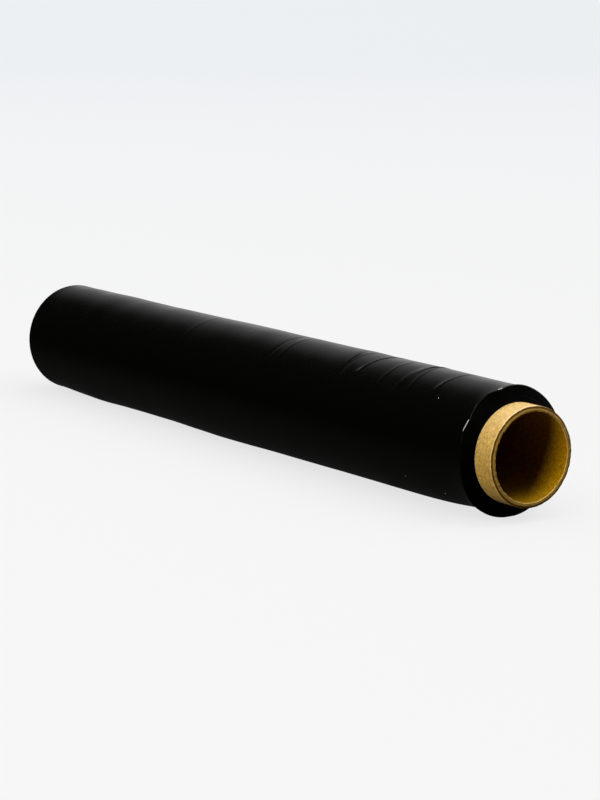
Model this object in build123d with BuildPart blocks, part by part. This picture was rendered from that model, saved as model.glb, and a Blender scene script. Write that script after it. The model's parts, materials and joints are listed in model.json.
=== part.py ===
"""Hand roll of stretch wrap: film wound on a spiral-wound cardboard core, lying on its side.

Frame: millimetres, +Z up, +X along the roll's axis.  The origin is the middle of the
roll's footprint, on the surface that it lies on.
"""

import os
from math import sqrt

from build123d import *

# ---------------------------------------------------------------- driving dimensions
web_width = 500.0  # width of the film, so the length of every turn
film_diameter = 74.2  # over the outermost turn
core_bore = 50.8  # a two-inch spindle bore
core_wall = 3.0  # built up from glued plies of board
core_overhang = 15.5  # how far the core stands out of the turns wound on it, each end
core_edge_round = 0.35  # the saw-cut ends of the tube are slightly worn

face_slip = 3.0  # the outermost turn lies this much nearer to -X than the first
lip_round = 0.6  # the film's outer edge is rolled over, not sharp
neck_depth = 0.8  # the outer turns draw in just behind each end face
neck_length = 24.0  # and reach their full diameter again this far from the edge
shoulder_round = 30.0  # softens the turn from the neck to the plain roll
flat_width = 8.0  # the soft roll settles on a narrow flat along its underside

# ---------------------------------------------------------------- worked-out sizes
core_diameter = core_bore + 2 * core_wall
core_length = web_width + 2 * core_overhang
film_radius = film_diameter / 2
first_turn_radius = core_diameter / 2  # the first turn is wound tight on the core
axis_height = sqrt(film_radius**2 - (flat_width / 2) ** 2)

# The axis of the roll, and the half-plane above it in which profiles are drawn:
# its X runs along the axis and its Y is the radius.
roll_axis = Axis((0, 0, axis_height), (1, 0, 0))
profile_plane = Plane(origin=(0, 0, axis_height), x_dir=(1, 0, 0), z_dir=(0, -1, 0))
core_start_plane = Plane(
    origin=(-core_length / 2, 0, axis_height), x_dir=(0, 1, 0), z_dir=(1, 0, 0)
)

# ---------------------------------------------------------------- cardboard core
# A plain tube, wider than the film so that a spindle or hand grip can enter each end.
with BuildPart() as cardboard_core:
    with BuildSketch(core_start_plane):
        Circle(core_diameter / 2)
        Circle(core_bore / 2, mode=Mode.SUBTRACT)
    extrude(amount=core_length)
    cut_ends = cardboard_core.faces().sort_by(Axis.X)
    fillet(cut_ends[0].edges() + cut_ends[-1].edges(), radius=core_edge_round)

# ---------------------------------------------------------------- wound film
# One solid of all the turns.  The end faces are shallow cones, because the turns have
# slipped along the core as they built up: proud of the edge at +X, dished at -X.
first_left = -web_width / 2
first_right = web_width / 2
edge_left = first_left - face_slip
edge_right = first_right - face_slip

with BuildPart() as wound_film:
    with BuildSketch(profile_plane):
        with BuildLine():
            Line((first_left, first_turn_radius), (first_right, first_turn_radius))
            Line((first_right, first_turn_radius), (edge_right, film_radius))
            ThreePointArc(
                (edge_right, film_radius),
                (edge_right - neck_length / 2, film_radius - neck_depth),
                (edge_right - neck_length, film_radius),
            )
            Line((edge_right - neck_length, film_radius), (edge_left + neck_length, film_radius))
            ThreePointArc(
                (edge_left + neck_length, film_radius),
                (edge_left + neck_length / 2, film_radius - neck_depth),
                (edge_left, film_radius),
            )
            Line((edge_left, film_radius), (first_left, first_turn_radius))
        make_face()
        outer_corners = vertices().group_by(Axis.Z)[-1].sort_by(Axis.X)
        fillet([outer_corners[0], outer_corners[-1]], radius=lip_round)
        fillet(outer_corners[1:-1], radius=shoulder_round)
    revolve(axis=roll_axis)
    split(bisect_by=Plane.XY, keep=Keep.TOP)

# ---------------------------------------------------------------- written parts
cardboard_core.part.label = "cardboard_core"
wound_film.part.label = "wound_film"

os.makedirs("parts", exist_ok=True)
export_step(cardboard_core.part, "parts/cardboard_core.step")
export_step(wound_film.part, "parts/wound_film.step")
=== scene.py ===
"""Looks of a hand roll of stretch wrap: black film wound on a spiral-wound board core.

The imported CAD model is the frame.  Both CAD pieces are replaced by modelled meshes that
carry what the plain solids leave out: the creases, neck and loose edge of the film, and the
plies, seams and fibres of the board.  All sizes are in metres unless a name says otherwise.
"""

import json
import logging
import math
from dataclasses import dataclass
from enum import Enum
from functools import partial
from typing import Callable

import bpy
import numpy as np
from bpy.types import Material, Node, NodeSocket, NodeTree, Object
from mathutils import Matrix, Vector


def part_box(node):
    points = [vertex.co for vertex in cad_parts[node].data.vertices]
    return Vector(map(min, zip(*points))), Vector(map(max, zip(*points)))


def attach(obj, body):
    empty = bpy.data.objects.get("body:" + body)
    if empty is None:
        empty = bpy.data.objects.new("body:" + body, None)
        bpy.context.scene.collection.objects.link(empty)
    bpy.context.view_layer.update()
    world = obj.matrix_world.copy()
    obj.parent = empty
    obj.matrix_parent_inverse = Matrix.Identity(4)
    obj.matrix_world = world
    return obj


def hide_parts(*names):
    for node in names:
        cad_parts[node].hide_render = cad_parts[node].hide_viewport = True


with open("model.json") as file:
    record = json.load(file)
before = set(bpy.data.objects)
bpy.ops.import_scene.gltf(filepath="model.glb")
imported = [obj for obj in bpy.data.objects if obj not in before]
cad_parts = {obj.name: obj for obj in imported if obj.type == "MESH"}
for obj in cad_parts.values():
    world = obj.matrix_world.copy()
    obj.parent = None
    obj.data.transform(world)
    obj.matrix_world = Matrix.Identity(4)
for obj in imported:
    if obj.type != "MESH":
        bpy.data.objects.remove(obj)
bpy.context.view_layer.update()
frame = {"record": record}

MM = 0.001
LOG = logging.getLogger("stretch_wrap_roll")
NodeAdder = Callable[..., Node]


# ------------------------------------------------------------------------------ helpers
def linear(hex_colour: str) -> tuple[float, float, float, float]:
    """Turns an sRGB hex colour into the linear RGBA that a shader takes.

    Args:
        hex_colour: The colour as "#rrggbb".

    Returns:
        Red, green, blue and an alpha of 1, linear.
    """
    channels = [int(hex_colour[i : i + 2], 16) / 255 for i in (1, 3, 5)]
    red, green, blue = (
        c / 12.92 if c <= 0.04045 else ((c + 0.055) / 1.055) ** 2.4 for c in channels
    )
    return red, green, blue, 1.0


def add_node(tree: NodeTree, kind: str, inputs: dict | None = None, **settings) -> Node:
    """Adds a node with its settings, its plain values and its links.

    Args:
        tree: The node tree that the node joins.
        kind: The node's Blender type name after "ShaderNode".
        inputs: Input name or number to a plain value, or to what feeds it: an output socket,
            or a node, which stands for its first output that is in use.
        **settings: Properties of the node itself, such as operation.

    Returns:
        The new node.
    """
    node = tree.nodes.new(f"ShaderNode{kind}")
    for name, value in settings.items():
        setattr(node, name, value)
    for key, value in (inputs or {}).items():
        if isinstance(value, Node):
            value = next(output for output in value.outputs if output.enabled)
        if isinstance(value, NodeSocket):
            tree.links.new(value, node.inputs[key])
        else:
            node.inputs[key].default_value = value
    return node


def new_material(name: str) -> tuple[Material, NodeAdder]:
    """Makes an empty node material.

    Args:
        name: The material's name.

    Returns:
        The material, and add_node for its node tree, which holds nothing yet.
    """
    material = bpy.data.materials.new(name)
    material.use_nodes = True
    material.node_tree.nodes.clear()
    return material, partial(add_node, material.node_tree)


def surface_material(name: str, lay_out: Callable[[NodeAdder, NodeSocket], dict]) -> Material:
    """Makes a material with one surface shader.

    Args:
        name: The material's name.
        lay_out: Adds the nodes of its pattern, given what adds a node and the object
            coordinates, and returns the shader's inputs.

    Returns:
        The material.
    """
    material, add = new_material(name)
    looks = lay_out(add, add("TexCoord").outputs["Object"])
    add("OutputMaterial", {"Surface": add("BsdfPrincipled", looks)})
    return material


def paint_over(add: NodeAdder, base: object, coats: tuple) -> Node:
    """Lays coats of colour one over another.

    Args:
        add: Adds a node to the material.
        base: The linear colour underneath, or the node that gives it.
        coats: Pairs of the node that gives a coat's share, and its sRGB hex colour.

    Returns:
        The finished colour.
    """
    for share, hex_colour in coats:
        values = {"Factor": share, 6: base, 7: linear(hex_colour)}
        base = add("Mix", values, data_type="RGBA")
    return base


def radius_from_axis(add: NodeAdder, place: NodeSocket) -> Node:
    """Measures how far each point of a surface lies from the roll's axis.

    Args:
        add: Adds a node to the material.
        place: Object coordinates.

    Returns:
        The distance, in metres.
    """
    to_axis = {0: place, 1: (0.0, 0.0, -ROLL.axis_height)}
    offset = add("VectorMath", to_axis, operation="ADD")
    flatten = {0: offset, 1: (0.0, 1.0, 1.0)}
    across = add("VectorMath", flatten, operation="MULTIPLY")
    return add("VectorMath", {0: across}, operation="LENGTH")


def smooth_step(low: float, high: float, value: np.ndarray) -> np.ndarray:
    """Rises smoothly from 0 at low to 1 at high."""
    t = np.clip((value - low) / (high - low), 0.0, 1.0)
    return t * t * (3.0 - 2.0 * t)


def bell(centre: float, spread: float, value: np.ndarray) -> np.ndarray:
    """Gives a bell curve of height 1 about centre."""
    return np.exp(-0.5 * ((value - centre) / spread) ** 2)


def angle_from(centre_deg: float, angles: np.ndarray) -> np.ndarray:
    """Gives the signed difference of each angle from centre_deg, in degrees within half a turn."""
    return (np.degrees(angles) - centre_deg + 180.0) % 360.0 - 180.0


def around(stations: tuple[tuple[float, float], ...], angles: np.ndarray) -> np.ndarray:
    """Runs a smooth value round the roll through a few stations.

    Args:
        stations: Pairs of angle in degrees and value there, in rising order within one turn.
        angles: Where the value is wanted, in radians.

    Returns:
        The value at each angle, with an even slope into and out of each station.
    """
    where = np.array([s[0] for s in stations])
    value = np.array([s[1] for s in stations])
    degrees = (np.degrees(angles) - where[0]) % 360.0 + where[0]
    after = np.searchsorted(where, degrees, side="right") % len(where)
    before = after - 1
    span = (where[after] - where[before]) % 360.0
    t = ((degrees - where[before]) % 360.0) / span
    t = t * t * (3.0 - 2.0 * t)
    return value[before] * (1.0 - t) + value[after] * t


def soft_noise(
    seed: int, waves: int, reach: float, length: np.ndarray, angles: np.ndarray
) -> np.ndarray:
    """Adds up a few seeded waves into a gentle unevenness over the roll.

    Args:
        seed: Fixes the waves.
        waves: How many to add.
        reach: Shortest wavelength along the roll, in metres.
        length: Places along the axis.
        angles: Places round the axis, in radians.

    Returns:
        A value of about -1 to 1 at each place.
    """
    chance = np.random.default_rng(seed)
    total = np.zeros(np.broadcast(length, angles).shape)
    for _ in range(waves):
        wavelength = reach * chance.uniform(1.0, 5.0)
        turns = chance.integers(0, 4)
        phase = chance.uniform(0.0, 2 * math.pi, 2)
        along = np.sin(2 * math.pi * length / wavelength + phase[0])
        total += along * np.cos(turns * angles + phase[1])
    return total / math.sqrt(waves)


def mesh_piece(name: str, points: list, faces: list, smooth: bool) -> Object:
    """Makes a mesh object and links it to the scene.

    Args:
        name: The piece's name.
        points: Its corners, as X, Y and Z.
        faces: Lists of corner numbers.
        smooth: Whether its faces are smooth shaded.

    Returns:
        The object.
    """
    mesh = bpy.data.meshes.new(name)
    mesh.from_pydata(points, [], faces)
    mesh.polygons.foreach_set("use_smooth", [smooth] * len(mesh.polygons))
    mesh.update()
    piece = bpy.data.objects.new(name, mesh)
    bpy.context.scene.collection.objects.link(piece)
    return piece


def ring_mesh(name: str, points: np.ndarray, slots: list[int]) -> Object:
    """Joins a closed profile, repeated round an axis, into one watertight mesh.

    Args:
        name: The piece's name.
        points: Rows of the profile by columns round the axis, by X, Y and Z.
        slots: Material slot of the band between each row and the next.

    Returns:
        The object, linked to the scene and smooth shaded, with its faces looking outward.
    """
    rows, columns, _ = points.shape
    index = np.arange(rows * columns).reshape(rows, columns)
    below = np.roll(index, -1, axis=0)
    beside = np.roll(index, -1, axis=1)
    quads = np.stack([index, beside, np.roll(below, -1, axis=1), below], axis=-1)
    flat = points.reshape(-1, 3)
    faces = quads.reshape(-1, 4)
    corners = flat[faces]
    crossed = np.cross(corners[:, 1] - corners[:, 0], corners[:, 2] - corners[:, 0])
    if np.einsum("ij,ij->", corners[:, 0] - flat.mean(axis=0), crossed) < 0:
        faces = faces[:, ::-1]
    piece = mesh_piece(name, flat.tolist(), faces.tolist(), smooth=True)
    piece.data.polygons.foreach_set("material_index", np.repeat(slots, columns))
    piece.data.update()
    return piece


# ------------------------------------------------------------------------------- frame
@dataclass(frozen=True)
class RollFrame:
    """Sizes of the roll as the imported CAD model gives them."""

    axis_height: float
    bore_radius: float
    core_radius: float
    core_end: float
    film_radius: float
    first_turn_end: float

    @classmethod
    def read(cls) -> "RollFrame":
        """Reads the sizes from the boxes of the CAD nodes and the bore mount.

        Returns:
            The frame's sizes, in metres.
        """
        core_low, core_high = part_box("cardboard_core")
        _, film_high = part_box("wound_film")
        bore = next(m for m in frame["record"]["mounts"] if m["name"] == "spindle_bore")
        return cls(
            axis_height=bore["pos_m"][2],
            bore_radius=bore["dims"]["r_mm"] * MM,
            core_radius=(core_high.z - core_low.z) / 2,
            core_end=core_high.x,
            film_radius=film_high.z - bore["pos_m"][2],
            first_turn_end=film_high.x,
        )

    def place(self, length: np.ndarray, radius: np.ndarray, angles: np.ndarray) -> np.ndarray:
        """Turns cylinder coordinates about the roll's axis into points.

        Args:
            length: Places along +X.
            radius: Distances from the axis.
            angles: Angles from +Y towards +Z, in radians.

        Returns:
            Points, with X, Y and Z last.
        """
        length, radius, angles = np.broadcast_arrays(length, radius, angles)
        return np.stack(
            [length, radius * np.cos(angles), self.axis_height + radius * np.sin(angles)], axis=-1
        )


# ------------------------------------------------------------------------------ finishes
class FilmFace(Enum):
    """Which face of the wound film a finish is for."""

    OUTER_TURN = "outer_turn"
    SLIT_EDGES = "slit_edges"
    CREASED_EDGE = "creased_edge"


@dataclass(frozen=True)
class BlownPolyethyleneFilm:
    """Black linear low-density polyethylene stretch film, blown thin and wound under tension.

    Carbon black makes it nearly lightless where it faces the eye.  The stretched skin is
    glossy but drawn round the roll, so lights spread into a soft sheen that only shows at a
    low angle, broken by fine rings where the turns are tighter or looser.
    """

    black_hex: str = "#040504"
    slit_hex: str = "#030303"
    # the folded near edge is painted pale as a glint of light, in a pale shade and a dull one
    painted_glint_hex: str = "#dfe5f0"
    painted_glint_dull_hex: str = "#b9bfc2"
    sheen_tint: tuple[float, float, float, float] = (0.93, 1.0, 0.91, 1.0)  # faintly green
    gloss_roughness: float = 0.27
    gloss_spread: tuple[float, float] = (-0.03, 0.05)
    slit_roughness: float = 0.45
    slit_spread: tuple[float, float] = (-0.1, 0.15)
    slit_gloss: float = 0.02  # light is lost between the slit edges
    painted_glint_roughness: float = 0.35
    index: float = 1.51
    ring_width_mm: float = 1.6  # tension rings in the outer turn
    ring_stretch: float = 45.0  # they are this much longer round the roll
    ring_relief_mm: float = 0.06
    ring_bump: float = 0.35
    patch_mm: float = 26.316  # slow changes of gloss
    streak_mm: float = 1.111  # streaks in the painted glint of the folded edge
    turn_pitch_mm: float = 0.25  # real turns are 0.02 mm; drawn coarser so that they show
    turn_relief_mm: float = 0.12
    turn_bump: float = 0.5

    def material(self, face: FilmFace) -> Material:
        """Makes the finish of one face.

        Args:
            face: Which face it is for.

        Returns:
            The material.
        """
        finishes = {
            FilmFace.OUTER_TURN: ("blown polyethylene film, stretched", self._outer_turn),
            FilmFace.SLIT_EDGES: ("slit polyethylene edges, wound", self._slit_edges),
            FilmFace.CREASED_EDGE: ("blown polyethylene film, painted glint", self._painted_glint_edge),
        }
        return surface_material(*finishes[face])

    def _roughness(
        self, add: NodeAdder, pattern: Node, middle: float, spread: tuple[float, float]
    ) -> Node:
        """Varies the roughness with a pattern.

        Args:
            add: Adds a node to the material.
            pattern: A noise.
            middle: The plain roughness.
            spread: How far it goes below and above.

        Returns:
            The roughness.
        """
        low, high = middle + spread[0], middle + spread[1]
        return add(
            "MapRange",
            {"Value": pattern, "From Min": 0.3, "From Max": 0.7, "To Min": low, "To Max": high},
        )

    def _outer_turn(self, add: NodeAdder, place: NodeSocket) -> dict:
        """Makes the stretched outer skin: fine rings round the roll, and slow changes of gloss.

        Args:
            add: Adds a node to the material.
            place: Object coordinates.

        Returns:
            The shader's inputs.
        """
        per_ring = 1.0 / (self.ring_width_mm * MM)
        round_roll = per_ring / self.ring_stretch
        ringwise = add("Mapping", {"Vector": place, "Scale": (per_ring, round_roll, round_roll)})
        rings = add(
            "TexNoise", {"Vector": ringwise, "Scale": 1.0, "Detail": 3.0, "Roughness": 0.55}
        )
        patches = add(
            "TexNoise", {"Vector": place, "Scale": 1.0 / (self.patch_mm * MM), "Detail": 2.0}
        )
        relief = self.ring_relief_mm * MM
        bump = add("Bump", {"Height": rings, "Strength": self.ring_bump, "Distance": relief})
        return {
            "Base Color": linear(self.black_hex),
            "Roughness": self._roughness(add, patches, self.gloss_roughness, self.gloss_spread),
            "IOR": self.index,
            "Specular Tint": self.sheen_tint,
            "Normal": bump,
        }

    def _slit_edges(self, add: NodeAdder, place: NodeSocket) -> dict:
        """Makes the end faces: hundreds of slit edges side by side, black and almost matt.

        Args:
            add: Adds a node to the material.
            place: Object coordinates.

        Returns:
            The shader's inputs.
        """
        per_turn = {0: radius_from_axis(add, place), 1: 1.0 / (self.turn_pitch_mm * MM)}
        turns = add("Math", per_turn, operation="MULTIPLY")
        ridges = add("TexNoise", {"W": turns, "Scale": 1.0, "Detail": 2.0}, noise_dimensions="1D")
        relief = self.turn_relief_mm * MM
        bump = add("Bump", {"Height": ridges, "Strength": self.turn_bump, "Distance": relief})
        return {
            "Base Color": linear(self.slit_hex),
            "Roughness": self._roughness(add, ridges, self.slit_roughness, self.slit_spread),
            "IOR": self.index,
            "Specular IOR Level": self.slit_gloss,
            "Normal": bump,
        }

    def _painted_glint_edge(self, add: NodeAdder, place: NodeSocket) -> dict:
        """Makes the sharp fold of the edge, painted pale in streaks as a glint of light.

        Args:
            add: Adds a node to the material.
            place: Object coordinates.

        Returns:
            The shader's inputs.
        """
        streaks = add(
            "TexNoise", {"Vector": place, "Scale": 1.0 / (self.streak_mm * MM), "Detail": 3.0}
        )
        colour = paint_over(add, linear(self.painted_glint_dull_hex), ((streaks, self.painted_glint_hex),))
        return {"Base Color": colour, "Roughness": self.painted_glint_roughness, "IOR": self.index}


class BoardFace(Enum):
    """Which face of the core a finish is for."""

    OUTER_LINER = "outer_liner"
    CUT_END = "cut_end"
    BORE = "bore"


@dataclass(frozen=True)
class SpiralWoundBoard:
    """Recycled kraft core board, wound in a spiral from glued plies and saw-cut to length.

    The liners are matt and warm brown, clouded by uneven pulp, with short fibres and a few
    dark specks of old print.  The cut ends show the plies as dark and light rings.
    """

    liner_hex: str = "#d9b66d"
    cloud_hex: str = "#ae8948"
    pale_hex: str = "#f1dba8"
    # the pale end bands are torn and rubbed fibres, partly a painted highlight along the lit cut
    # edges
    torn_and_highlight_hex: str = "#f6e2b8"
    worn_and_highlight_hex: str = "#e6c484"  # the rubbed inner corner of each cut, also a painted highlight along the bore's edge
    speck_hex: str = "#6e4d1d"
    seam_hex: str = "#8f6c36"
    cut_pale_hex: str = "#a98c57"
    bore_hex: str = "#a57c00"
    bore_cloud_hex: str = "#825c00"
    bore_pale_hex: str = "#bf982e"
    ply_shades: tuple[tuple[float, str], ...] = (
        # share of the wall from the bore outward, and the shade of the plies there
        (0.00, "#cbab66"), (0.10, "#c6a65e"), (0.17, "#7f5f22"), (0.24, "#8c6a2a"),
        (0.32, "#bf9e58"), (0.50, "#ba974e"), (0.58, "#8c682a"), (0.67, "#64430f"),
        (0.86, "#5c3b0a"), (0.96, "#5c3b0a"), (1.00, "#7f5d1e"),
    )
    liner_roughness: float = 0.5  # the rolled outer liner, which shines a little at a low angle
    liner_gloss: float = 1.0
    liner_sheen: float = 0.03
    sheen_roughness: float = 0.4
    roughness: float = 0.88
    plain_gloss: float = 0.08  # of the bore and the cuts, which nothing has polished
    index: float = 1.47
    liner_relief_mm: float = 0.07
    cut_relief_mm: float = 0.10
    bump: float = 0.6
    cloud_mm: float = 1.8  # clouds of uneven pulp
    fibre_mm: float = 0.45  # fibres are about 0.05 mm wide; drawn coarser so that they show
    fibre_stretch: float = 3.5  # they lie round the tube, this much longer than wide
    speck_mm: float = 4.5  # mean spacing of the dark specks
    ply_width_mm: float = 110.0  # width of a ply's strip, so the pitch of its seam
    seam_mm: float = 0.35
    seam_share: float = 0.8  # how much of the seam's dark colour shows
    outer_seam_turn: float = 0.32  # where round the core the seam starts, in turns
    bore_seam_turn: float = 0.8
    torn_and_highlight_outside_mm: float = 1.5  # how far the pale band reaches in: fibres torn pale by the saw, partly a painted highlight
    torn_and_highlight_bore_mm: float = 0.8
    torn_and_highlight_fade_mm: tuple[float, float] = (0.3, 1.0)
    torn_and_highlight_ragged_mm: float = 1.1
    torn_and_highlight_share: float = 0.7
    ply_wander_mm: float = 0.35  # how far the plies wander in and out
    ply_wander_mean_mm: float = 0.17
    ply_wander_length_mm: float = 6.25

    def material(self, face: BoardFace) -> Material:
        """Makes the finish of one face.

        Args:
            face: Which face it is for.

        Returns:
            The material.
        """
        names = {
            BoardFace.OUTER_LINER: "kraft core board, outer liner",
            BoardFace.CUT_END: "kraft core board, saw cut",
            BoardFace.BORE: "kraft core board, bore liner",
        }
        return surface_material(names[face], partial(self._looks, face))

    def _looks(self, face: BoardFace, add: NodeAdder, place: NodeSocket) -> dict:
        """Lays out the board's pattern, relief and gloss.

        Args:
            face: Which face it is for.
            add: Adds a node to the material.
            place: Object coordinates.

        Returns:
            The shader's inputs.
        """
        outside = face is BoardFace.OUTER_LINER
        if face is BoardFace.CUT_END:
            colour, height = self._cut_plies(add, place)
            relief = self.cut_relief_mm * MM
        else:
            colour, height = self._liner(add, place, outside)
            relief = self.liner_relief_mm * MM
        bump = add("Bump", {"Height": height, "Strength": self.bump, "Distance": relief})
        return {
            "Base Color": colour,
            "Roughness": self.liner_roughness if outside else self.roughness,
            "IOR": self.index,
            "Specular IOR Level": self.liner_gloss if outside else self.plain_gloss,
            "Sheen Weight": self.liner_sheen if outside else 0.0,
            "Sheen Roughness": self.sheen_roughness,
            "Normal": bump,
        }

    def _liner(self, add: NodeAdder, place: NodeSocket, outside: bool) -> tuple[Node, Node]:
        """Lays out the clouds, fibres, specks, seam and pale ends of a liner, torn fibres partly
        painted as a highlight.

        Args:
            add: Adds a node to the material.
            place: Object coordinates.
            outside: Whether it is the outer liner, and not the bore's.

        Returns:
            The colour and the height of the surface.
        """
        if outside:
            cloud_hex, liner_hex, pale_hex = self.cloud_hex, self.liner_hex, self.pale_hex
            end_hex, seam_turn, torn_and_highlight_mm = self.torn_and_highlight_hex, self.outer_seam_turn, self.torn_and_highlight_outside_mm
        else:
            cloud_hex, liner_hex, pale_hex = self.bore_cloud_hex, self.bore_hex, self.bore_pale_hex
            end_hex, seam_turn, torn_and_highlight_mm = self.worn_and_highlight_hex, self.bore_seam_turn, self.torn_and_highlight_bore_mm
        clouds = add(
            "TexNoise",
            {"Vector": place, "Scale": 1.0 / (self.cloud_mm * MM), "Detail": 3.0, "Roughness": 0.6},
        )
        cloud_share = add("MapRange", {"Value": clouds, "From Min": 0.35, "From Max": 0.68})
        per_fibre = 1.0 / (self.fibre_mm * MM)
        across = per_fibre / self.fibre_stretch
        fibrewise = add("Mapping", {"Vector": place, "Scale": (per_fibre, across, across)})
        fibres = add("TexNoise", {"Vector": fibrewise, "Scale": 1.0, "Detail": 2.0})
        fibre_share = add(
            "MapRange", {"Value": fibres, "From Min": 0.5, "From Max": 0.75, "To Max": 0.75}
        )
        cells = add("TexVoronoi", {"Vector": place, "Scale": 1.0 / (self.speck_mm * MM)})
        speck_share = add(
            "MapRange", {"Value": cells, "From Min": 0.085, "From Max": 0.05, "To Max": 0.8}
        )
        seam = self._seam(add, place, seam_turn)
        along = add("SeparateXYZ", {"Vector": place}).outputs["X"]
        from_middle = add("Math", {0: along}, operation="ABSOLUTE")
        # pale band at each end: torn fibres, partly a painted highlight along the lit edge
        fray = {0: fibres, 1: self.torn_and_highlight_ragged_mm * MM, 2: from_middle}
        ragged = add("Math", fray, operation="MULTIPLY_ADD")
        fade_start, fade_stop = self.torn_and_highlight_fade_mm
        band = {
            "From Min": ROLL.core_end - (torn_and_highlight_mm - fade_start) * MM,
            "From Max": ROLL.core_end - (torn_and_highlight_mm - fade_stop) * MM,
            "To Max": self.torn_and_highlight_share,
        }
        torn_and_highlight = add("MapRange", {"Value": ragged} | band)
        coats = (
            (cloud_share, liner_hex),
            (fibre_share, pale_hex),
            (speck_share, self.speck_hex),
            (seam, self.seam_hex),
            (torn_and_highlight, end_hex),
        )
        colour = paint_over(add, linear(cloud_hex), coats)
        height = add("Math", {0: fibres, 1: seam}, operation="SUBTRACT")
        return colour, height

    def _seam(self, add: NodeAdder, place: NodeSocket, start_turn: float) -> Node:
        """Draws the butt seam of a spiral ply as a thin line that climbs one ply width a turn.

        Args:
            add: Adds a node to the material.
            place: Object coordinates.
            start_turn: Where round the core the seam starts, in turns.

        Returns:
            1 on the seam and 0 away from it.
        """
        parts = add("SeparateXYZ", {"Vector": place})
        up = add("Math", {0: parts.outputs["Z"], 1: ROLL.axis_height}, operation="SUBTRACT")
        angle = add("Math", {0: up, 1: parts.outputs["Y"]}, operation="ARCTAN2")
        turn = add(
            "Math", {0: angle, 1: 1.0 / (2 * math.pi), 2: start_turn}, operation="MULTIPLY_ADD"
        )
        climb = add(
            "Math",
            {0: parts.outputs["X"], 1: 1.0 / (self.ply_width_mm * MM), 2: turn},
            operation="MULTIPLY_ADD",
        )
        within = add("Math", {0: climb, 1: 1.0}, operation="FLOORED_MODULO")
        from_seam = add("Math", {0: within, 1: 0.5}, operation="SUBTRACT")
        distance = add("Math", {0: from_seam}, operation="ABSOLUTE")
        half = self.seam_mm / self.ply_width_mm
        line = {"From Min": half, "From Max": half * 0.3, "To Max": self.seam_share}
        return add("MapRange", {"Value": distance} | line)

    def _cut_plies(self, add: NodeAdder, place: NodeSocket) -> tuple[Node, Node]:
        """Lays out the plies of a sawn end as rings of uneven shade.

        Args:
            add: Adds a node to the material.
            place: Object coordinates.

        Returns:
            The colour and the height of the surface.
        """
        wobble = add(
            "TexNoise",
            {"Vector": place, "Scale": 1.0 / (self.ply_wander_length_mm * MM), "Detail": 3.0},
        )
        wander = {0: wobble, 1: self.ply_wander_mm * MM, 2: radius_from_axis(add, place)}
        wandering = add("Math", wander, operation="MULTIPLY_ADD")
        mean = self.ply_wander_mean_mm * MM
        wall = {"From Min": ROLL.bore_radius + mean, "From Max": ROLL.core_radius + mean}
        plies = add("ValToRGB", {"Fac": add("MapRange", {"Value": wandering} | wall)})
        ramp = plies.color_ramp
        while len(ramp.elements) < len(self.ply_shades):
            ramp.elements.new(1.0)
        for element, (position, shade) in zip(ramp.elements, self.ply_shades):
            element.position = position
            element.color = linear(shade)
        fibres = add(
            "TexNoise", {"Vector": place, "Scale": 1.0 / (self.fibre_mm * MM), "Detail": 3.0}
        )
        fibre_share = add(
            "MapRange", {"Value": fibres, "From Min": 0.45, "From Max": 0.8, "To Max": 0.35}
        )
        colour = paint_over(add, plies, ((fibre_share, self.cut_pale_hex),))
        return colour, fibres


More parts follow.
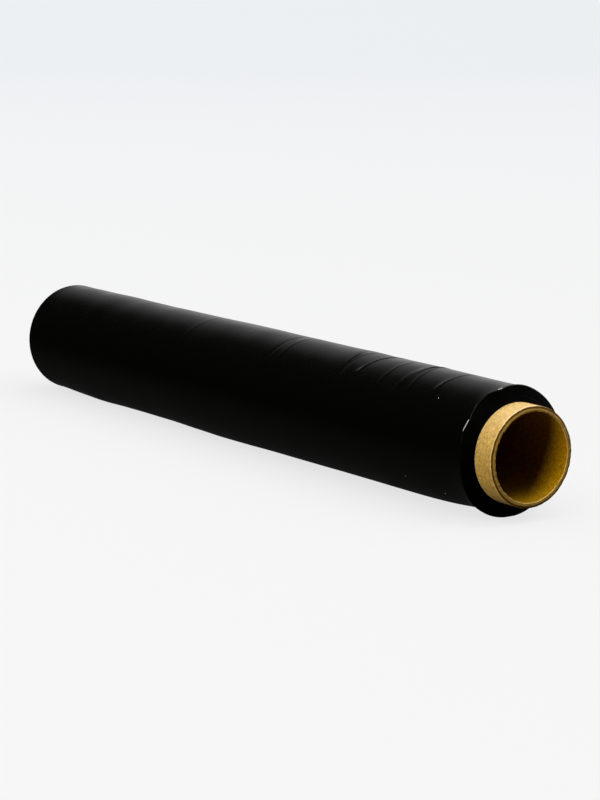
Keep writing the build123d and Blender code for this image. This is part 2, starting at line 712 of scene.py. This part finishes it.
# ------------------------------------------------------------------------ cardboard core
@dataclass
class CoreTube:
    """The spiral-wound cardboard tube that the film is wound on."""

    roll: RollFrame
    board: SpiralWoundBoard
    columns: int = 300
    outer_round_mm: float = 0.45  # the outer corner of each cut is worn round
    inner_round_mm: float = 0.4
    crown_mm: float = 0.28  # the cut end falls away this much towards its outer corner
    plies: int = 9
    ply_relief_mm: float = 0.07
    ragged_mm: float = 0.16
    ragged_seed: int = 11
    fray_zone_mm: tuple[float, float] = (2.0, 0.5)  # from the end, where it starts and is full
    fray_outward: float = 0.3  # how much of the outer corner's fray goes outward
    ply_seed: int = 4
    end_zone_mm: float = 16.0  # rows are close this near each end, for the bare board
    round_steps: int = 5

    def build(self) -> Object:
        """Makes the tube with its worn, layered cut ends.

        Returns:
            The dressed piece, in place of the CAD node.
        """
        profile, slots = self._profile()
        angles = np.linspace(0.0, 2 * math.pi, self.columns, endpoint=False)[None, :]
        length = profile[:, 0][:, None]
        radius = profile[:, 1][:, None]
        start, stop = (self.roll.core_end - reach * MM for reach in self.fray_zone_mm)
        near_end = smooth_step(start, stop, np.abs(length))
        # One ragged line runs round each corner of the cut, and the face blends between them.
        corners = np.random.default_rng(self.ragged_seed).normal(0.0, 1.0, (4, self.columns))
        corners = (corners + np.roll(corners, 1, axis=1) + np.roll(corners, -1, axis=1)) / 2
        outer_x, inner_x, outer_r, inner_r = np.clip(corners, -1.0, 1.0)
        inward = (self.roll.core_radius - radius) / (self.roll.core_radius - self.roll.bore_radius)
        fray_x = outer_x * (1 - inward) + inner_x * inward
        fray_r = self.fray_outward * outer_r * (1 - inward) + inner_r * inward
        length = length + np.sign(length) * near_end * (fray_x - 1.0) * self.ragged_mm * MM
        radius = radius + near_end * fray_r * self.ragged_mm * MM
        piece = ring_mesh("spiral_wound_core", self.roll.place(length, radius, angles), slots)
        for face in BoardFace:
            piece.data.materials.append(self.board.material(face))
        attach(piece, "root")
        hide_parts("cardboard_core")
        return piece

    def _profile(self) -> tuple[np.ndarray, list[int]]:
        """Draws half the tube's section as a closed line, outside, one end, bore, other end.

        Returns:
            Places along the axis and radii, and the material slot of the band after each.
        """
        outer, bore = self.roll.core_radius, self.roll.bore_radius
        end = self.roll.core_end - self.ragged_mm * MM
        worn, inner = self.outer_round_mm * MM, self.inner_round_mm * MM
        straight = end - worn - self.crown_mm * MM
        plain = straight - self.end_zone_mm * MM
        near = np.linspace(plain, straight, 24)
        steps = np.concatenate([-near[::-1], np.linspace(-plain, plain, 40)[1:-1], near])
        sawn_end = self._end_rows(outer, bore, end, worn, inner)
        rows = [(x, outer, 0) for x in steps] + sawn_end
        rows += [(x, bore, 2) for x in np.linspace(end - inner, -end + inner, 90)]
        rows += [(-x, r, 1) for x, r, _ in reversed(sawn_end)]
        slots = [slot for _, _, slot in rows]
        return np.array([(x, r) for x, r, _ in rows]), slots

    def _end_rows(
        self, outer: float, bore: float, end: float, worn: float, inner: float
    ) -> list[tuple[float, float, int]]:
        """Draws one sawn end, from the worn outer corner in to the worn edge of the bore.

        Args:
            outer: Outer radius.
            bore: Bore radius.
            end: Distance of the end from the middle of the tube.
            worn: Size of the rounded outer corner.
            inner: Size of the rounded inner corner.

        Returns:
            Place along the axis, radius and material slot of each row.
        """
        rows = []
        corner = end - self.crown_mm * MM - worn
        for step in range(1, self.round_steps + 1):
            turn = step / (self.round_steps + 1) * math.pi / 2
            drop = worn * (1 - math.cos(turn))
            rows.append((corner + worn * math.sin(turn), outer - drop, int(step > 1)))
        face_outer, face_inner = outer - worn, bore + inner
        heights = np.random.default_rng(self.ply_seed).uniform(-1.0, 0.2, self.plies)
        ply = (face_outer - face_inner) / self.plies
        for number in range(self.plies):
            top = face_outer - number * ply
            outward = max(0.0, 1.0 - number / (0.6 * self.plies))
            lift = (heights[number] * self.ply_relief_mm - self.crown_mm * outward**1.5) * MM
            rows.append((end + lift - 0.03 * MM, top - 0.02 * ply, 1))
            rows.append((end + lift, top - 0.15 * ply, 1))
            rows.append((end + lift, top - 0.85 * ply, 1))
        for step in range(self.round_steps):
            turn = step / self.round_steps * math.pi / 2
            back, up = inner * (1 - math.cos(turn)), inner * (1 - math.sin(turn))
            rows.append((end - back, bore + up, 2))
        return rows


# ---------------------------------------------------------------------------- wound film
class CreaseKind(Enum):
    """How a ring in the outer turn stands out of the roll."""

    RIDGE = "ridge"
    GROOVE = "groove"


@dataclass(frozen=True)
class Crease:
    """A ring pulled into the outer turn, round part of the roll."""

    place_mm: float
    height_mm: float
    width_mm: float
    kind: CreaseKind
    middle_deg: float = 108.0
    reach_deg: float = 46.0
    lean_mm: float = 0.0  # how much further along it lies at the end of its reach

    def lift(self, length: np.ndarray, angles: np.ndarray) -> np.ndarray:
        """Gives how far the crease moves the film out from the axis.

        Args:
            length: Places along the axis.
            angles: Places round the axis, in radians.

        Returns:
            The lift at each place, in metres.
        """
        off = angle_from(self.middle_deg, angles)
        window = 1.0 - smooth_step(self.reach_deg * 0.35, self.reach_deg, np.abs(off))
        distance = length / MM - self.place_mm - self.lean_mm * off / self.reach_deg
        shape = bell(0.0, self.width_mm, distance)
        if self.kind is CreaseKind.GROOVE:
            shape = -shape
        return shape * window * self.height_mm * MM

    def near(self, length: float) -> bool:
        """Says whether a place along the roll, in metres, is close enough to need fine rows."""
        return abs(length / MM - self.place_mm) < 2.6 * self.width_mm + 0.5 * abs(self.lean_mm)


@dataclass(frozen=True)
class Swell:
    """A broad rise where the soft turns bulge."""

    place_mm: float
    spread_mm: float
    height_mm: float
    middle_deg: float
    reach_deg: float

    def lift(self, length: np.ndarray, angles: np.ndarray) -> np.ndarray:
        """Gives how far the swell moves the film out from the axis.

        Args:
            length: Places along the axis.
            angles: Places round the axis, in radians.

        Returns:
            The lift at each place, in metres.
        """
        along = bell(self.place_mm, self.spread_mm, length / MM)
        beside = bell(0.0, self.reach_deg, angle_from(self.middle_deg, angles))
        return self.height_mm * MM * along * beside


@dataclass
class FilmWinding:
    """All the turns of film as one body, with its creases, necks and loose near edge."""

    roll: RollFrame
    film: BlownPolyethyleneFilm
    columns: int = 168
    slip_mm: float = 3.0  # the outer turn lies this far back from the first
    lip_round_mm: float = 0.5
    lip_steps: int = 5
    lip_reach_mm: float = 3.0  # the lip's rise fades out this far behind the edge
    edge_reach_mm: float = 9.0  # and the edge's waves this far
    neck_deepest_mm: float = 12.0
    far_neck_mm: float = 0.15
    core_swell_mm: float = 1.1  # the first turns at the near end stand out this much more
    flank_rows: int = 30
    flank_seeds: tuple[int, int] = (21, 22)
    flank_relief_mm: float = 0.12
    unevenness_mm: float = 0.09
    unevenness_length_mm: float = 28.0
    unevenness_seed: int = 3
    clearance_mm: float = 0.02  # between the first turn and the core
    tail_deg: float = -31.0  # the loose end of the film lies along the back
    tail_mm: float = 0.12  # thicker than the real film, so that the end shows
    tail_edge_deg: float = 2.5
    tail_wander_deg: float = 1.2
    tail_wander_length_mm: float = 31.0
    row_step_mm: float = 2.8
    end_steps_mm: tuple[tuple[float, float], ...] = ((45.0, 1.5), (4.0, 0.35))  # reach, step
    near_edge: tuple[tuple[float, float], ...] = (
        # angle round the roll in degrees, and how far the outer edge stands forward, in mm
        (-96.0, -1.1), (0.0, -0.9), (60.0, -0.9), (92.0, 0.3), (103.0, 1.1), (119.0, -1.6),
        (128.0, -1.7), (137.0, -0.4), (144.0, 0.9), (156.0, 0.1), (168.0, 0.9), (181.0, 1.6),
        (193.0, 1.0), (208.0, 0.1), (227.0, -1.6), (240.0, -1.0),
    )
    near_lip: tuple[tuple[float, float], ...] = (
        # angle in degrees, and how far the lip stands out from the plain roll, in mm
        (-76.0, 0.1), (50.0, 0.1), (85.0, 0.5), (108.0, 0.2), (134.0, 0.1), (168.0, -0.1),
        (208.0, -0.4), (262.0, -0.1),
    )
    near_neck: tuple[tuple[float, float], ...] = (
        # angle in degrees, and depth of the neck behind the lip, in mm
        (-106.0, 2.4), (-60.0, 1.2), (20.0, 0.4), (85.0, 0.35), (112.0, 0.2), (150.0, 0.25),
        (185.0, 0.9), (220.0, 1.9),
    )
    swells: tuple[Swell, ...] = (
        Swell(-190.0, 32.0, 1.6, -108.0, 26.0),
        Swell(-125.0, 22.0, 0.5, -108.0, 26.0),
        Swell(-34.0, 46.0, 1.6, -108.0, 26.0),
        Swell(62.0, 30.0, 0.5, -108.0, 26.0),
        Swell(-256.0, 36.0, 0.7, 110.0, 60.0),
        Swell(-178.0, 22.0, 0.35, 75.0, 40.0),
        Swell(-12.0, 34.0, 0.4, 75.0, 40.0),
        Swell(108.0, 10.0, 0.4, 75.0, 30.0),
    )
    creases: tuple[Crease, ...] = (
        Crease(-57.5, 0.12, 0.8, CreaseKind.RIDGE),
        Crease(41.4, 0.16, 0.6, CreaseKind.GROOVE),
        Crease(50.0, 0.12, 1.0, CreaseKind.RIDGE, lean_mm=2.0),
        Crease(113.8, 0.42, 0.42, CreaseKind.GROOVE, lean_mm=5.0),
        Crease(117.0, 0.20, 0.45, CreaseKind.GROOVE, lean_mm=2.0),
        Crease(132.4, 0.34, 0.42, CreaseKind.RIDGE, lean_mm=-4.5),
        Crease(155.2, 0.16, 0.9, CreaseKind.RIDGE, lean_mm=1.5),
        Crease(175.6, 0.56, 0.42, CreaseKind.RIDGE, lean_mm=-1.0),
        Crease(181.6, 0.20, 0.45, CreaseKind.RIDGE, lean_mm=4.0, reach_deg=36.0),
        Crease(197.7, 0.38, 0.42, CreaseKind.RIDGE),
        Crease(205.4, 0.24, 0.45, CreaseKind.RIDGE, lean_mm=-1.5, reach_deg=36.0),
        # the rest are round the back
        Crease(-203.0, 0.20, 0.9, CreaseKind.RIDGE, -15.0, 60.0, 6.0),
        Crease(-141.0, 0.22, 0.8, CreaseKind.GROOVE, 8.0, 50.0, -5.0),
        Crease(-20.0, 0.22, 0.8, CreaseKind.GROOVE, 5.0, 50.0, 7.0),
        Crease(33.0, 0.18, 0.9, CreaseKind.RIDGE, -12.0, 60.0, -4.0),
        Crease(150.0, 0.24, 0.8, CreaseKind.RIDGE, -2.0, 55.0, 3.0),
        Crease(214.0, 0.20, 0.8, CreaseKind.GROOVE, -20.0, 60.0),
    )

    def build(self) -> Object:
        """Makes the wound film.

        Returns:
            The dressed piece, in place of the CAD node.
        """
        angles = np.linspace(0.0, 2 * math.pi, self.columns, endpoint=False)[None, :]
        skin_length = self._stations()[:, None]
        near_x, near_r = self.skin(skin_length[-1:], angles)
        far_x, far_r = self.skin(skin_length[:1], angles)
        skin_x, skin_r = self.skin(skin_length, angles)
        near_turn, far_turn = self._near_first_turn(), -self.roll.first_turn_end
        near_seed, far_seed = self.flank_seeds
        front_x, front_r = self._flank(near_x, near_r, near_turn, 1.0, angles, near_seed)
        back_x, back_r = self._flank(far_x, far_r, far_turn, -1.0, angles, far_seed)
        bore_x, bore_r = self._bore(angles)
        length = np.concatenate([skin_x, front_x, bore_x, back_x[::-1]])
        radius = np.concatenate([skin_r, front_r, bore_r, back_r[::-1]])
        skin_rows, lip_rows = len(skin_x), self.lip_steps
        slots = [0] * (skin_rows + lip_rows - 1)
        slots += [1] * (len(length) - len(slots) - lip_rows)
        slots += [0] * lip_rows
        points = self.roll.place(length, radius, angles)
        points[..., 2] = np.maximum(points[..., 2], 0.0)  # the soft roll lies flat on its underside
        piece = ring_mesh("stretch_film_winding", points, slots)
        piece.data.materials.append(self.film.material(FilmFace.OUTER_TURN))
        piece.data.materials.append(self.film.material(FilmFace.SLIT_EDGES))
        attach(piece, "root")
        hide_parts("wound_film")
        return piece

    def _near_first_turn(self) -> float:
        """Gives the place of the first turn's edge at the near end."""
        return self.roll.first_turn_end + self.core_swell_mm * MM

    def edge(self, side: float) -> float:
        """Gives the plain place of the outer turn's edge at one end, side being 1 or -1."""
        return side * self.roll.first_turn_end - self.slip_mm * MM

    def _stations(self) -> np.ndarray:
        """Chooses where along the skin to put rows: close at creases and edges, wide elsewhere.

        Returns:
            Their places along the plain roll, in rising order.
        """
        start, stop = self.edge(-1.0), self.edge(1.0)
        places = [start]
        while places[-1] < stop:
            here = places[-1]
            from_end = min(here - start, stop - here) / MM
            steps = [self.row_step_mm] + [0.6 * c.width_mm for c in self.creases if c.near(here)]
            steps += [step for reach, step in self.end_steps_mm if from_end < reach]
            places.append(here + min(steps) * MM)
        places[-1] = stop
        if places[-1] - places[-2] < 0.1 * MM:
            del places[-2]
        return np.array(places)

    def skin(self, length: np.ndarray, angles: np.ndarray) -> tuple[np.ndarray, np.ndarray]:
        """Shapes the outer turn.

        Args:
            length: Places along the plain roll.
            angles: Angles round it, in radians.

        Returns:
            Places along the axis and radii of the real skin.
        """
        near, far = self.edge(1.0), self.edge(-1.0)
        behind_near = (near - length) / MM
        behind_far = (length - far) / MM
        shift = around(self.near_edge, angles) * MM * np.exp(-behind_near / self.edge_reach_mm)
        neck_near = around(self.near_neck, angles) * self._neck(behind_near)
        neck_far = self.far_neck_mm * self._neck(behind_far)
        lip = around(self.near_lip, angles) * np.exp(-behind_near / self.lip_reach_mm)
        swell = sum(swell.lift(length, angles) for swell in self.swells)
        reach = self.unevenness_length_mm * MM
        slow = self.unevenness_mm * soft_noise(self.unevenness_seed, 9, reach, length, angles)
        creases = sum(crease.lift(length, angles) for crease in self.creases)
        wander = self.tail_wander_deg * np.sin(length / (self.tail_wander_length_mm * MM))
        past_tail = (np.degrees(angles) - self.tail_deg - wander) % 360.0
        tail = smooth_step(0.0, self.tail_edge_deg, past_tail) * (1.0 - past_tail / 360.0)
        rise = lip - neck_near - neck_far + slow + self.tail_mm * tail
        radius = self.roll.film_radius + creases + swell + rise * MM
        return length + shift + 0.0 * radius, radius

    def _neck(self, behind_mm: np.ndarray) -> np.ndarray:
        """Gives the neck's depth, 0 at the edge, 1 where it is deepest, fading further in."""
        scaled = np.maximum(behind_mm, 0.0) / self.neck_deepest_mm
        return scaled * np.exp(1.0 - scaled)

    def _flank(
        self,
        edge_x: np.ndarray,
        edge_r: np.ndarray,
        first_turn: float,
        side: float,
        angles: np.ndarray,
        seed: int,
    ) -> tuple[np.ndarray, np.ndarray]:
        """Shapes one end face, from the rolled outer edge in to the core.

        Args:
            edge_x: Place of the skin's edge along the axis, for each column.
            edge_r: Radius of the skin's edge, for each column.
            first_turn: Place of the first turn's edge.
            side: 1 for the near end and -1 for the far end.
            angles: Angles of the columns, in radians.
            seed: Fixes how the turns' edges lie.

        Returns:
            Places along the axis and radii, by row and column.
        """
        rounding = self.lip_round_mm * MM
        rows_x, rows_r = [], []
        for step in range(1, self.lip_steps + 1):
            turn = step / self.lip_steps * math.pi / 2
            rows_x.append(edge_x + side * rounding * math.sin(turn))
            rows_r.append(edge_r - rounding * (1 - math.cos(turn)))
        face_x, face_r = rows_x[-1], rows_r[-1]
        inner = self.roll.core_radius + self.clearance_mm * MM
        chance = np.random.default_rng(seed)
        count = self.flank_rows
        relief = chance.uniform(-1.0, 1.0, count)
        for number in range(1, count + 1):
            share = number / count
            flat = face_x * (1 - share) + first_turn * share
            drift = 0.5 * soft_noise(seed + number // 5, 3, 1.0, np.zeros(1), angles)
            ridge = (relief[number - 1] + drift) * self.flank_relief_mm * MM * (1 - share**6)
            rows_x.append(flat + ridge)
            rows_r.append(face_r * (1 - share) + inner * share + 0.0 * angles)
        return np.concatenate(rows_x), np.concatenate(rows_r)

    def _bore(self, angles: np.ndarray) -> tuple[np.ndarray, np.ndarray]:
        """Shapes the hidden face that hugs the core, from the near end to the far one.

        Args:
            angles: Angles of the columns, in radians.

        Returns:
            Places along the axis and radii, by row and column.
        """
        length = np.linspace(self._near_first_turn(), -self.roll.first_turn_end, 6)[1:-1, None]
        radius = self.roll.core_radius + self.clearance_mm * MM
        return length + 0.0 * angles, radius + 0.0 * length + 0.0 * angles


# --------------------------------------------------------------------------- loose edge
@dataclass
class LiftedEdge:
    """The short stretch of the film's near edge that is folded up and painted pale as a glint."""

    roll: RollFrame
    film: BlownPolyethyleneFilm
    winding: FilmWinding
    name: str
    start_deg: float
    stop_deg: float
    width_mm: float
    sections: int = 28
    sides: int = 10
    forward_mm: float = 0.3  # how far it stands out of the edge
    outward_mm: float = 0.08
    flatness: float = 0.6
    tip_share: float = 0.15  # thickness left at each tip

    def build(self) -> Object:
        """Makes the fold as a thin tapering bead along the edge.

        Returns:
            The dressed piece.
        """
        angles = np.radians(np.linspace(self.start_deg, self.stop_deg, self.sections))
        edge = self.winding.edge(1.0)
        length, radius = self.winding.skin(np.array([edge]), angles)
        spine = self.roll.place(length, radius, angles)
        turns = np.linspace(0.0, 2 * math.pi, self.sides, endpoint=False)
        forward = np.array([1.0, 0.0, 0.0])
        rings = []
        for number, (point, angle) in enumerate(zip(spine, angles)):
            along = number / (self.sections - 1)
            swell = min(1.0, 6 * along + self.tip_share, 6 * (1 - along) + self.tip_share)
            half = self.width_mm * MM / 2 * swell
            outward = np.array([0.0, math.cos(angle), math.sin(angle)])
            centre = point + forward * self.forward_mm * MM + outward * self.outward_mm * MM
            wide = half * np.cos(turns)[:, None] * forward
            rings.append(centre + wide + self.flatness * half * np.sin(turns)[:, None] * outward)
        index = np.arange(self.sections * self.sides).reshape(self.sections, self.sides)
        beside = np.roll(index, -1, axis=1)
        quads = np.stack([index[:-1], beside[:-1], beside[1:], index[1:]], axis=-1)
        faces = quads.reshape(-1, 4).tolist() + [index[0][::-1].tolist(), index[-1].tolist()]
        piece = mesh_piece(self.name, np.concatenate(rings).tolist(), faces, smooth=True)
        piece.data.materials.append(self.film.material(FilmFace.CREASED_EDGE))
        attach(piece, "root")
        return piece


# --------------------------------------------------------------------------- pale flecks
@dataclass(frozen=True)
class PaleFleckFinish:
    """Small flecks on the film: dull, pale and a little uneven."""

    pale_hex: str = "#efece4"
    dull_hex: str = "#cfc8b8"
    clump_mm: float = 0.25
    roughness: float = 0.9

    def material(self) -> Material:
        """Makes the finish.

        Returns:
            The material.
        """
        return surface_material("pale flecks, matt", self._looks)

    def _looks(self, add: NodeAdder, place: NodeSocket) -> dict:
        """Mottles the flecks with small clumps.

        Args:
            add: Adds a node to the material.
            place: Object coordinates.

        Returns:
            The shader's inputs.
        """
        per_clump = {"Vector": place, "Scale": 1.0 / (self.clump_mm * MM)}
        colour = paint_over(
            add, linear(self.dull_hex), ((add("TexNoise", per_clump), self.pale_hex),)
        )
        return {"Base Color": colour, "Roughness": self.roughness}


@dataclass
class PaleFlecks:
    """The few small pale flecks on the film."""

    roll: RollFrame
    winding: FilmWinding
    fleck_finish: PaleFleckFinish
    flecks: tuple[tuple[float, float, float], ...] = (
        # place along the axis in mm, angle in degrees, and size in mm
        (213.3, 131.7, 0.6),
        (221.8, -136.0, 0.7),
        (191.7, -147.7, 0.7),
    )
    corners: int = 9
    thickness_mm: float = 0.14
    seed: int = 7

    def build(self) -> Object:
        """Makes each fleck as a thin ragged flake, half sunk in the soft film.

        Returns:
            The dressed piece.
        """
        chance = np.random.default_rng(self.seed)
        points, faces = [], []
        for place_mm, angle_deg, size_mm in self.flecks:
            turns = np.linspace(0.0, 2 * math.pi, self.corners, endpoint=False)
            ragged = chance.uniform(0.55, 1.0, self.corners) * size_mm * MM / 2
            length = place_mm * MM + ragged * np.cos(turns)
            angles = math.radians(angle_deg) + ragged * np.sin(turns) / self.roll.film_radius
            first = len(points)
            for side in (-0.5, 0.5):
                _, radius = self.winding.skin(length[:, None], angles[:, None])
                radius = radius[:, 0] + side * self.thickness_mm * MM
                points += self.roll.place(length, radius, angles).tolist()
            lower = list(range(first, first + self.corners))
            upper = [corner + self.corners for corner in lower]
            faces += [upper, lower[::-1]]
            faces += [(lower[k - 1], lower[k], upper[k], upper[k - 1]) for k in range(self.corners)]
        piece = mesh_piece("pale_flecks", points, faces, smooth=False)
        piece.data.materials.append(self.fleck_finish.material())
        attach(piece, "root")
        return piece


# -------------------------------------------------------------------------------- studio
class LampReach(Enum):
    """What a lamp lights."""

    FLOOR = "floor"
    ROLL = "roll"


@dataclass(frozen=True)
class SoftLamp:
    """A distant soft lamp, given by the direction that its light comes from.

    A lamp of brightness 1 that shines straight at matt white paper makes it just white.
    """

    name: str
    comes_from: tuple[float, float, float]
    width_deg: float
    brightness: float
    colour_hex: str
    reach: LampReach


@dataclass(frozen=True)
class Glow:
    """A soft bright patch of the surroundings that only glossy faces show clearly."""

    towards: tuple[float, float, float]
    inner_deg: float
    outer_deg: float
    strength: float


@dataclass
class PaleStudio:
    """A plain pale floor under soft light."""

    floor_hex: str = "#f6f6f6"
    far_floor_hex: str = "#eef1f4"  # the light falls off behind the roll
    floor_fade: tuple[float, float] = (0.3, 6.0)  # distances behind the roll where it does
    surround_hex: str = "#f3f5f7"
    lit_share: float = 0.135
    floor_glow: float = 0.94
    floor_reach: float = 90.0
    backward: tuple[float, float, float] = (-0.83, 0.56, 0.0)  # where behind the roll is
    ambient: float = 0.004
    floor_ambient: float = 0.025  # the floor, as the gloss of the film picks it up
    floor_line: tuple[float, float] = (-0.42, -0.10)  # heights where the lit walls end
    lamps: tuple[SoftLamp, ...] = (
        SoftLamp("overhead_dome", (0.0, 0.10, 1.0), 120.0, 1.30, "#ffffff", LampReach.FLOOR),
        SoftLamp("overhead_panel", (-0.20, 0.24, 1.0), 80.0, 1.30, "#f8fbff", LampReach.ROLL),
        SoftLamp("front_left_fill", (0.18, -0.88, 0.41), 24.0, 0.74, "#fff4c4", LampReach.ROLL),
        SoftLamp("floor_bounce", (0.1, -0.2, -0.95), 140.0, 0.05, "#ffdb80", LampReach.ROLL),
    )
    glows: tuple[Glow, ...] = (
        Glow((-0.70, 0.70, 0.10), 6.0, 46.0, 0.32),
        Glow((-0.80, 0.60, 0.00), 4.0, 20.0, 0.35),
        Glow((0.22, 0.42, 0.88), 12.0, 30.0, 1.6),
        Glow((0.00, 0.95, 0.20), 8.0, 26.0, 0.9),
        Glow((0.80, 0.40, 0.50), 10.0, 32.0, 0.6),
    )

    def build(self) -> None:
        """Sets the floor, the lamps, the surroundings and the plain colour rendering."""
        floor = self._floor()
        receivers = {reach: bpy.data.collections.new(f"lit_{reach.value}") for reach in LampReach}
        for collection in receivers.values():
            collection.objects.link(floor)
        receivers[LampReach.ROLL].collection_objects[0].light_linking.link_state = "EXCLUDE"
        for lamp in self.lamps:
            self._lamp(lamp).light_linking.receiver_collection = receivers[lamp.reach]
        self._surroundings()
        view = bpy.context.scene.view_settings
        view.view_transform = "Standard"
        view.look = "None"

    def _floor(self) -> Object:
        """Lays a wide sheet of matt paper, lit from below so that shadows on it stay pale.

        Returns:
            The floor.
        """
        material, add = new_material("matt backdrop paper, lit from below")
        place = add("TexCoord").outputs["Object"]
        behind = add("VectorMath", {0: place, 1: self.backward}, operation="DOT_PRODUCT")
        fade = add(
            "MapRange",
            {"Value": behind, "From Min": self.floor_fade[0], "From Max": self.floor_fade[1]},
        )
        shade = paint_over(add, linear(self.floor_hex), ((fade, self.far_floor_hex),))
        paper = add("BsdfDiffuse", {"Color": shade, "Roughness": 1.0})
        glow = add("Emission", {"Color": shade, "Strength": self.floor_glow})
        both = add("MixShader", {"Fac": 1.0 - self.lit_share, 1: paper, 2: glow})
        add("OutputMaterial", {"Surface": both})
        reach = self.floor_reach
        corners = [(-reach, -reach), (reach, -reach), (reach, reach), (-reach, reach)]
        points = [(x, y, 0.0) for x, y in corners]
        floor = mesh_piece("studio_floor", points, [(0, 1, 2, 3)], smooth=False)
        floor.data.materials.append(material)
        # The film mirrors a dark room and not the lit floor, so it stays black underneath.
        floor.visible_glossy = False
        floor.visible_diffuse = False
        floor.visible_shadow = False
        return floor

    @staticmethod
    def _lamp(lamp: SoftLamp) -> Object:
        """Hangs one distant lamp.

        Args:
            lamp: Where its light comes from, and how it shines.

        Returns:
            The lamp.
        """
        light = bpy.data.lights.new(lamp.name, "SUN")
        light.angle = math.radians(lamp.width_deg)
        light.energy = math.pi * lamp.brightness
        light.color = linear(lamp.colour_hex)[:3]
        holder = bpy.data.objects.new(lamp.name, light)
        holder.rotation_euler = Vector(lamp.comes_from).to_track_quat("Z", "Y").to_euler()
        holder.visible_glossy = False  # the film mirrors the room's glows, not the bare lamps
        bpy.context.scene.collection.objects.link(holder)
        return holder

    def _surroundings(self) -> None:
        """Paints the room round the roll: dim, with a few broad glows, and pale to the eye."""
        world = bpy.data.worlds.new("studio_surround")
        world.use_nodes = True
        bpy.context.scene.world = world
        world.node_tree.nodes.clear()
        add = partial(add_node, world.node_tree)
        towards = add("TexCoord").outputs["Generated"]
        height = add("SeparateXYZ", {"Vector": towards}).outputs["Z"]
        above_floor = add(
            "MapRange",
            {"Value": height, "From Min": self.floor_line[0], "From Max": self.floor_line[1]},
            interpolation_type="SMOOTHSTEP",
        )
        total = add(
            "MapRange", {"Value": above_floor, "To Min": self.floor_ambient, "To Max": self.ambient}
        )
        for glow in self.glows:
            middle = Vector(glow.towards).normalized()
            facing = add("VectorMath", {0: towards, 1: middle[:]}, operation="DOT_PRODUCT")
            share = add(
                "MapRange",
                {
                    "Value": facing,
                    "From Min": math.cos(math.radians(glow.outer_deg)),
                    "From Max": math.cos(math.radians(glow.inner_deg)),
                    "To Max": glow.strength,
                },
                interpolation_type="SMOOTHSTEP",
            )
            total = add("Math", {0: share, 1: above_floor, 2: total}, operation="MULTIPLY_ADD")
        room = add("Background", {"Color": (1.0, 1.0, 1.0, 1.0), "Strength": total})
        pale = add("Background", {"Color": linear(self.surround_hex), "Strength": 1.0})
        seen = add("LightPath")
        both = add("MixShader", {"Fac": seen, 1: room, 2: pale})
        add("OutputWorld", {"Surface": both})


@dataclass(frozen=True)
class LowCornerView:
    """The camera: low, in front of the near end and to its side, through a long lens."""

    azimuth_deg: float = 55.93
    elevation_deg: float = 10.41
    distance: float = 1.434
    aim: tuple[float, float, float] = (0.0395, 0.0, 0.0344)
    lens_mm: float = 103.2
    sensor_mm: float = 36.0
    sight: float = 400.0

    def build(self) -> None:
        """Sets the camera and makes it the scene's own."""
        azimuth, elevation = math.radians(self.azimuth_deg), math.radians(self.elevation_deg)
        back = Vector(
            (
                math.sin(azimuth) * math.cos(elevation),
                -math.cos(azimuth) * math.cos(elevation),
                math.sin(elevation),
            )
        )
        camera = bpy.data.cameras.new("camera")
        camera.lens = self.lens_mm
        camera.sensor_width = self.sensor_mm
        camera.clip_end = self.sight
        holder = bpy.data.objects.new("camera", camera)
        holder.location = Vector(self.aim) + back * self.distance
        holder.rotation_euler = back.to_track_quat("Z", "Y").to_euler()
        bpy.context.scene.collection.objects.link(holder)
        bpy.context.scene.camera = holder


# ---------------------------------------------------------------------------------- main
ROLL = RollFrame.read()


def report(piece: Object) -> None:
    """Logs a finished piece and how many triangles it holds."""
    triangles = sum(len(p.vertices) - 2 for p in piece.data.polygons)
    LOG.info("%s: %d triangles", piece.name, triangles)


def main() -> None:
    logging.basicConfig(level=logging.INFO, format="%(name)s: %(message)s")
    LowCornerView().build()
    PaleStudio().build()
    film = BlownPolyethyleneFilm()
    report(CoreTube(ROLL, SpiralWoundBoard()).build())
    winding = FilmWinding(ROLL, film)
    report(winding.build())
    # the fold and the nick are beads along the near edge, painted pale as glints of light
    report(LiftedEdge(ROLL, film, winding, "film_edge_fold_painted_glint", 144.2, 155.6, 0.5).build())
    report(LiftedEdge(ROLL, film, winding, "film_edge_nick_painted_glint", 101.3, 106.3, 0.5).build())
    report(PaleFlecks(ROLL, winding, PaleFleckFinish()).build())


if __name__ == "__main__":
    main()
